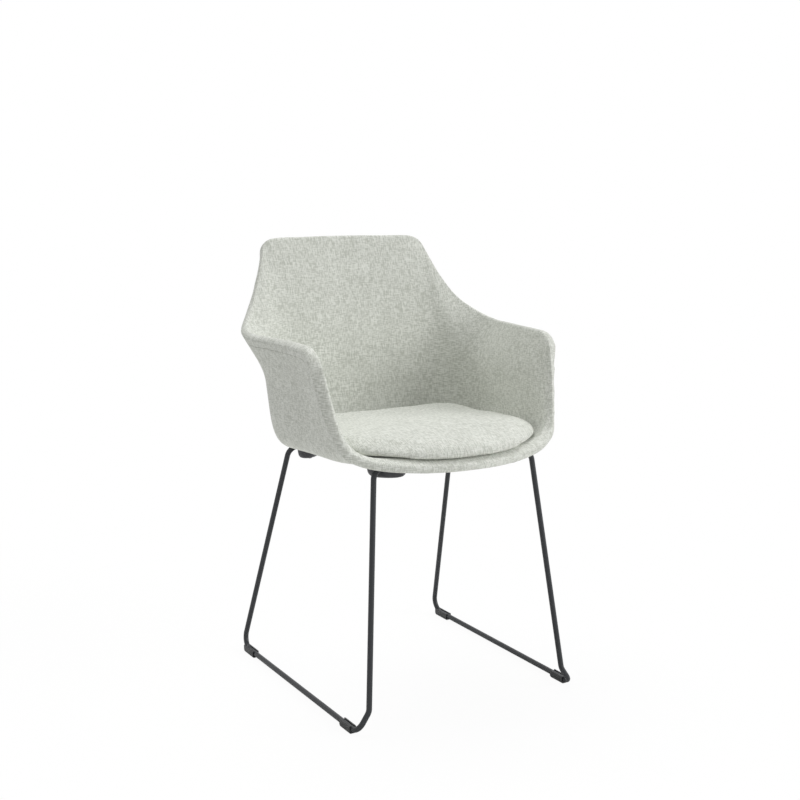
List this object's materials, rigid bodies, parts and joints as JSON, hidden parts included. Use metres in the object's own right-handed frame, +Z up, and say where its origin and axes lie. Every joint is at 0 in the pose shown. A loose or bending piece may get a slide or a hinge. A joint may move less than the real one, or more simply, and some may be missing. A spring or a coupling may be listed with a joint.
{
  "type": "sled base visitor chair",
  "caption": "Upholstered bucket visitor chair with a loose seat pad on a bent steel wire frame with two sled runners and clip-on glides.",
  "frame": {"origin": "on the floor, under the middle of the whole chair", "axes": "+Z up; the sitter faces -Y, +Y is the back of the chair; the sitter's right hand side is at -X"},
  "size_m": [0.5502, 0.5064, 0.8247],
  "materials": {
    "frame_steel": "dark charcoal powder coat, satin",
    "glide_plastic": "black moulded plastic, matt",
    "block_plastic": "dark grey moulded plastic, matt",
    "screw_steel": "blackened steel, satin",
    "insert_brass": "turned brass",
    "shell_plastic": "moulded shell, hidden between the covers",
    "cover_cloth": "light sage-grey melange upholstery cloth",
    "board_plastic": "thin carrier board under the pad"
  },
  "bodies": {
    "root": {"side_frame_left": "frame_steel", "side_frame_right": "frame_steel", "front_crossbar": "frame_steel", "rear_crossbar": "frame_steel", "shell_moulding": "shell_plastic", "inner_upholstery": "cover_cloth", "outer_upholstery": "cover_cloth", "seat_cushion": "cover_cloth", "cushion_board": "board_plastic", "glide_front_left": "glide_plastic", "mount_block_front_left": "block_plastic", "mount_screw_front_left": "screw_steel", "threaded_insert_front_left": "insert_brass", "glide_front_right": "glide_plastic", "mount_block_front_right": "block_plastic", "mount_screw_front_right": "screw_steel", "threaded_insert_front_right": "insert_brass", "glide_rear_left": "glide_plastic", "mount_block_rear_left": "block_plastic", "mount_screw_rear_left": "screw_steel", "threaded_insert_rear_left": "insert_brass", "glide_rear_right": "glide_plastic", "mount_block_rear_right": "block_plastic", "mount_screw_rear_right": "screw_steel", "threaded_insert_rear_right": "insert_brass"}
  },
  "joints": []
}
